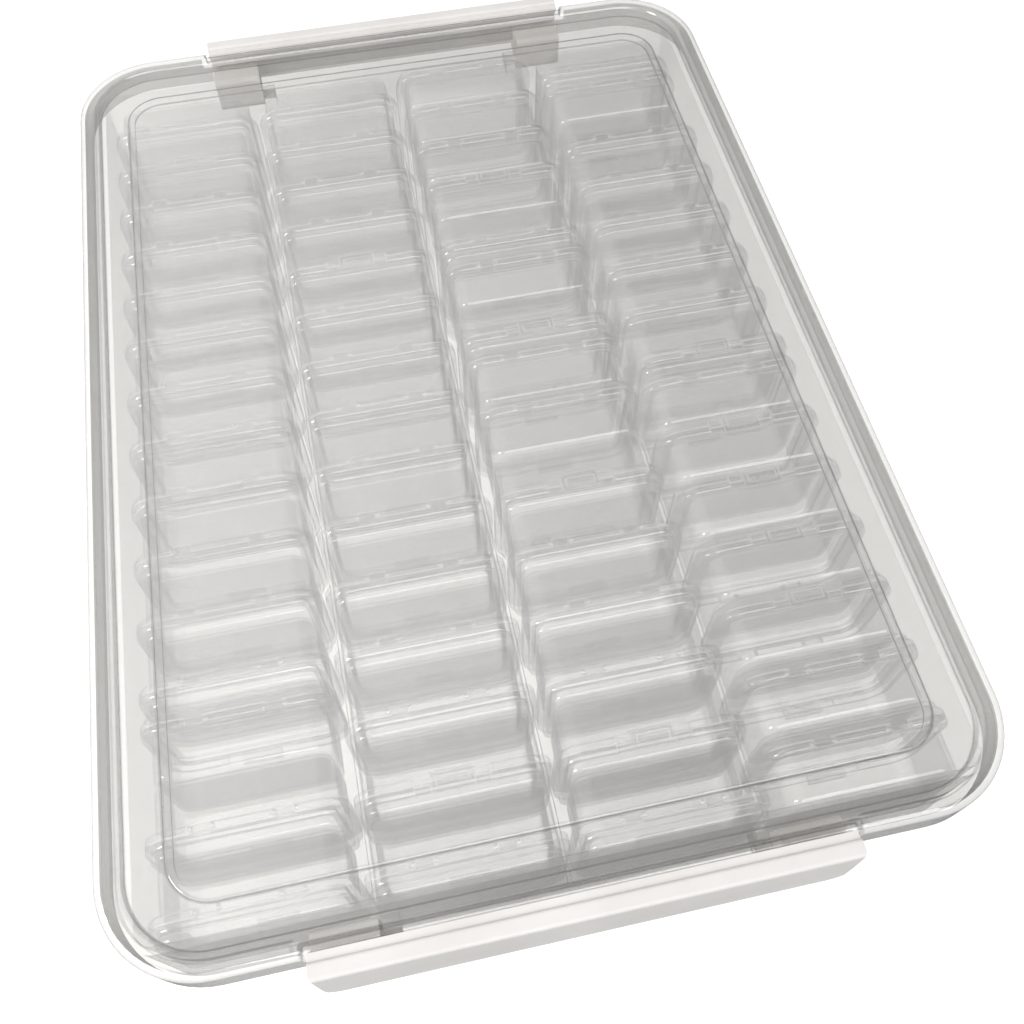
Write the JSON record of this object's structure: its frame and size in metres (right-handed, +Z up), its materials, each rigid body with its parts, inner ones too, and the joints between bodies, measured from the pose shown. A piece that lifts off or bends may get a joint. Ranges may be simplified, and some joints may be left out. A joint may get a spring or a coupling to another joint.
{
  "type": "bead storage case",
  "caption": "Clear rectangular case with a lift-off lid and two end latches, holding rows of small clear lidded bead boxes on edge.",
  "frame": {"origin": "middle of the flat face that the case rests on", "axes": "+Y along the long side towards the far latch, +Z up through the lid, +X to the right seen from the near latch"},
  "size_m": [0.24, 0.3506, 0.0519],
  "materials": {
    "clear_lid": "gloss",
    "clear_base": "gloss",
    "clear_tray": "gloss",
    "clear_small_lid": "gloss",
    "latch": "satin"
  },
  "bodies": {
    "case": {"case_base": "clear_base", "column_1_trays": "clear_tray", "column_1_lids": "clear_small_lid", "column_2_trays": "clear_tray", "column_2_lids": "clear_small_lid", "column_3_trays": "clear_tray", "column_3_lids": "clear_small_lid", "column_4_trays": "clear_tray", "column_4_lids": "clear_small_lid"},
    "lid": {"case_lid": "clear_lid"},
    "far_latch_body": {"far_latch": "latch"},
    "near_latch_body": {"near_latch": "latch"},
    "box_c1_r02": {"box_c1_r02_tray": "clear_tray", "box_c1_r02_lid": "clear_small_lid"},
    "box_c1_r05": {"box_c1_r05_tray": "clear_tray", "box_c1_r05_lid": "clear_small_lid"},
    "box_c1_r08": {"box_c1_r08_tray": "clear_tray", "box_c1_r08_lid": "clear_small_lid"},
    "box_c1_r11": {"box_c1_r11_tray": "clear_tray", "box_c1_r11_lid": "clear_small_lid"},
    "box_c1_r14": {"box_c1_r14_tray": "clear_tray", "box_c1_r14_lid": "clear_small_lid"},
    "box_c2_r02": {"box_c2_r02_tray": "clear_tray", "box_c2_r02_lid": "clear_small_lid"},
    "box_c2_r05": {"box_c2_r05_tray": "clear_tray", "box_c2_r05_lid": "clear_small_lid"},
    "box_c2_r08": {"box_c2_r08_tray": "clear_tray", "box_c2_r08_lid": "clear_small_lid"},
    "box_c2_r11": {"box_c2_r11_tray": "clear_tray", "box_c2_r11_lid": "clear_small_lid"},
    "box_c2_r14": {"box_c2_r14_tray": "clear_tray", "box_c2_r14_lid": "clear_small_lid"},
    "box_c3_r02": {"box_c3_r02_tray": "clear_tray", "box_c3_r02_lid": "clear_small_lid"},
    "box_c3_r05": {"box_c3_r05_tray": "clear_tray", "box_c3_r05_lid": "clear_small_lid"},
    "box_c3_r08": {"box_c3_r08_tray": "clear_tray", "box_c3_r08_lid": "clear_small_lid"},
    "box_c3_r11": {"box_c3_r11_tray": "clear_tray", "box_c3_r11_lid": "clear_small_lid"},
    "box_c3_r14": {"box_c3_r14_tray": "clear_tray", "box_c3_r14_lid": "clear_small_lid"},
    "box_c4_r02": {"box_c4_r02_tray": "clear_tray", "box_c4_r02_lid": "clear_small_lid"},
    "box_c4_r05": {"box_c4_r05_tray": "clear_tray", "box_c4_r05_lid": "clear_small_lid"},
    "box_c4_r08": {"box_c4_r08_tray": "clear_tray", "box_c4_r08_lid": "clear_small_lid"},
    "box_c4_r11": {"box_c4_r11_tray": "clear_tray", "box_c4_r11_lid": "clear_small_lid"},
    "box_c4_r14": {"box_c4_r14_tray": "clear_tray", "box_c4_r14_lid": "clear_small_lid"}
  },
  "joints": [
    {"name": "lid_lift", "type": "slide", "parent": "case", "child": "lid", "axis": [0, 0, 1], "range_m": [0, 0.05]},
    {"name": "far_latch_swing", "type": "hinge", "parent": "case", "child": "far_latch_body", "pos_m": [0, 0.1645, 0.0316], "axis": [-1, 0, 0], "range_deg": [0, 120]},
    {"name": "near_latch_swing", "type": "hinge", "parent": "case", "child": "near_latch_body", "pos_m": [0, -0.1645, 0.0316], "axis": [1, 0, 0], "range_deg": [0, 120]},
    {"name": "box_c1_r02_lift", "type": "slide", "parent": "case", "child": "box_c1_r02", "axis": [0, 0, 1], "range_m": [0, 0.045]},
    {"name": "box_c1_r05_lift", "type": "slide", "parent": "case", "child": "box_c1_r05", "axis": [0, 0, 1], "range_m": [0, 0.045]},
    {"name": "box_c1_r08_lift", "type": "slide", "parent": "case", "child": "box_c1_r08", "axis": [0, 0, 1], "range_m": [0, 0.045]},
    {"name": "box_c1_r11_lift", "type": "slide", "parent": "case", "child": "box_c1_r11", "axis": [0, 0, 1], "range_m": [0, 0.045]},
    {"name": "box_c1_r14_lift", "type": "slide", "parent": "case", "child": "box_c1_r14", "axis": [0, 0, 1], "range_m": [0, 0.045]},
    {"name": "box_c2_r02_lift", "type": "slide", "parent": "case", "child": "box_c2_r02", "axis": [0, 0, 1], "range_m": [0, 0.045]},
    {"name": "box_c2_r05_lift", "type": "slide", "parent": "case", "child": "box_c2_r05", "axis": [0, 0, 1], "range_m": [0, 0.045]},
    {"name": "box_c2_r08_lift", "type": "slide", "parent": "case", "child": "box_c2_r08", "axis": [0, 0, 1], "range_m": [0, 0.045]},
    {"name": "box_c2_r11_lift", "type": "slide", "parent": "case", "child": "box_c2_r11", "axis": [0, 0, 1], "range_m": [0, 0.045]},
    {"name": "box_c2_r14_lift", "type": "slide", "parent": "case", "child": "box_c2_r14", "axis": [0, 0, 1], "range_m": [0, 0.045]},
    {"name": "box_c3_r02_lift", "type": "slide", "parent": "case", "child": "box_c3_r02", "axis": [0, 0, 1], "range_m": [0, 0.045]},
    {"name": "box_c3_r05_lift", "type": "slide", "parent": "case", "child": "box_c3_r05", "axis": [0, 0, 1], "range_m": [0, 0.045]},
    {"name": "box_c3_r08_lift", "type": "slide", "parent": "case", "child": "box_c3_r08", "axis": [0, 0, 1], "range_m": [0, 0.045]},
    {"name": "box_c3_r11_lift", "type": "slide", "parent": "case", "child": "box_c3_r11", "axis": [0, 0, 1], "range_m": [0, 0.045]},
    {"name": "box_c3_r14_lift", "type": "slide", "parent": "case", "child": "box_c3_r14", "axis": [0, 0, 1], "range_m": [0, 0.045]},
    {"name": "box_c4_r02_lift", "type": "slide", "parent": "case", "child": "box_c4_r02", "axis": [0, 0, 1], "range_m": [0, 0.045]},
    {"name": "box_c4_r05_lift", "type": "slide", "parent": "case", "child": "box_c4_r05", "axis": [0, 0, 1], "range_m": [0, 0.045]},
    {"name": "box_c4_r08_lift", "type": "slide", "parent": "case", "child": "box_c4_r08", "axis": [0, 0, 1], "range_m": [0, 0.045]},
    {"name": "box_c4_r11_lift", "type": "slide", "parent": "case", "child": "box_c4_r11", "axis": [0, 0, 1], "range_m": [0, 0.045]},
    {"name": "box_c4_r14_lift", "type": "slide", "parent": "case", "child": "box_c4_r14", "axis": [0, 0, 1], "range_m": [0, 0.045]}
  ],
  "couplings": [
    {"joint": "far_latch_swing", "follows": "lid_lift", "rad_per_m": 41.888},
    {"joint": "near_latch_swing", "follows": "lid_lift", "rad_per_m": 41.888},
    {"joint": "box_c1_r02_lift", "follows": "lid_lift", "ratio": 0.9},
    {"joint": "box_c1_r05_lift", "follows": "lid_lift", "ratio": 0.9},
    {"joint": "box_c1_r08_lift", "follows": "lid_lift", "ratio": 0.9},
    {"joint": "box_c1_r11_lift", "follows": "lid_lift", "ratio": 0.9},
    {"joint": "box_c1_r14_lift", "follows": "lid_lift", "ratio": 0.9},
    {"joint": "box_c2_r02_lift", "follows": "lid_lift", "ratio": 0.9},
    {"joint": "box_c2_r05_lift", "follows": "lid_lift", "ratio": 0.9},
    {"joint": "box_c2_r08_lift", "follows": "lid_lift", "ratio": 0.9},
    {"joint": "box_c2_r11_lift", "follows": "lid_lift", "ratio": 0.9},
    {"joint": "box_c2_r14_lift", "follows": "lid_lift", "ratio": 0.9},
    {"joint": "box_c3_r02_lift", "follows": "lid_lift", "ratio": 0.9},
    {"joint": "box_c3_r05_lift", "follows": "lid_lift", "ratio": 0.9},
    {"joint": "box_c3_r08_lift", "follows": "lid_lift", "ratio": 0.9},
    {"joint": "box_c3_r11_lift", "follows": "lid_lift", "ratio": 0.9},
    {"joint": "box_c3_r14_lift", "follows": "lid_lift", "ratio": 0.9},
    {"joint": "box_c4_r02_lift", "follows": "lid_lift", "ratio": 0.9},
    {"joint": "box_c4_r05_lift", "follows": "lid_lift", "ratio": 0.9},
    {"joint": "box_c4_r08_lift", "follows": "lid_lift", "ratio": 0.9},
    {"joint": "box_c4_r11_lift", "follows": "lid_lift", "ratio": 0.9},
    {"joint": "box_c4_r14_lift", "follows": "lid_lift", "ratio": 0.9}
  ]
}
